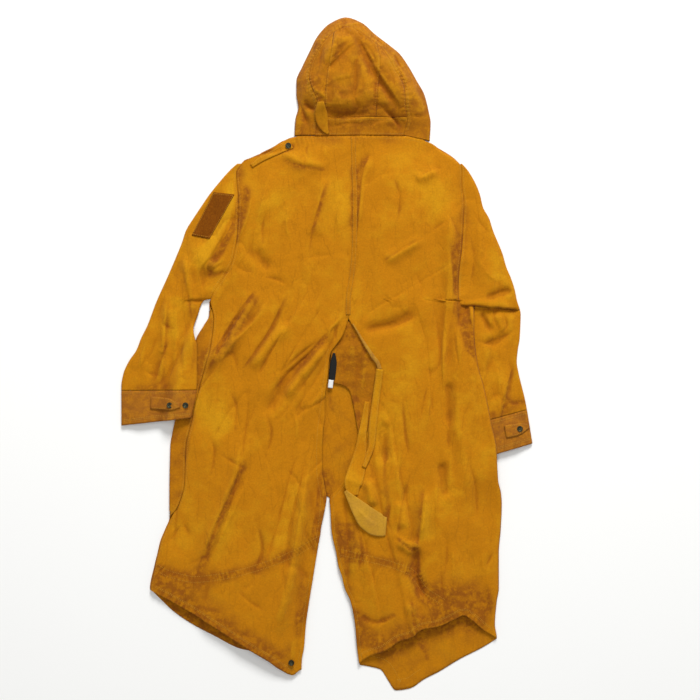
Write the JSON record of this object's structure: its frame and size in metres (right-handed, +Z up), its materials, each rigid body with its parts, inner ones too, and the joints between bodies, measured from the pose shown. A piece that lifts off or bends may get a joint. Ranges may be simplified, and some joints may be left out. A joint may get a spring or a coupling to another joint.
{
  "type": "hooded canvas parka",
  "caption": "Long hooded canvas coat with a split fishtail back, laid flat face down, with tab cuffs, a back vent and a hanging strap.",
  "frame": {"origin": "on the floor, under the middle of the coat's box as it lies", "axes": "+Y from the tails towards the hood, along the coat's length; +X towards the wearer's right side, as the coat lies face down; +Z up from the floor"},
  "size_m": [0.8483, 1.3797, 0.0516],
  "materials": {
    "ochre_canvas": "woven cotton canvas, ochre, washed and faded",
    "ochre_canvas_seams": "the same canvas, browner where it is worn at edges and seams",
    "ochre_canvas_inside": "the same canvas, lighter on its unfaded side",
    "rust_loop_pile": "loop pile tape",
    "black_tape": "narrow woven tape, bare",
    "white_tape": "narrow woven tape, bare",
    "dark_snap_metal": "dark antique plated brass, satin",
    "zip_tape": "woven zip tape with its two rows of teeth",
    "zip_brass": "satin brass"
  },
  "bodies": {
    "root": {"back_left": "ochre_canvas", "back_right": "ochre_canvas", "centre_back_tape": "ochre_canvas_seams", "cuff_left": "ochre_canvas_seams", "cuff_right": "ochre_canvas_seams", "cuff_tab_left": "ochre_canvas_seams", "cuff_tab_right": "ochre_canvas_seams", "epaulette_left": "ochre_canvas_seams", "front_left": "ochre_canvas", "front_right": "ochre_canvas", "hood_centre": "ochre_canvas", "hood_flap_left": "ochre_canvas", "hood_left": "ochre_canvas", "hood_neck_band": "ochre_canvas", "hood_right": "ochre_canvas", "hood_rim": "ochre_canvas", "label_loop": "black_tape", "label_tag": "white_tape", "sleeve_left": "ochre_canvas", "sleeve_loop_patch": "rust_loop_pile", "sleeve_right_lower": "ochre_canvas", "sleeve_right_upper": "ochre_canvas", "snap_cuff_left": "dark_snap_metal", "snap_cuff_left_tab": "dark_snap_metal", "snap_cuff_right": "dark_snap_metal", "snap_epaulette": "dark_snap_metal", "snap_tail_left": "dark_snap_metal", "vent_facing": "ochre_canvas_inside", "vent_strap_end": "ochre_canvas_inside", "vent_strap_loop": "ochre_canvas", "vent_strap_upper": "ochre_canvas", "vent_underlap": "ochre_canvas", "zip_slider": "zip_brass", "zip_tape": "zip_tape"}
  },
  "joints": []
}
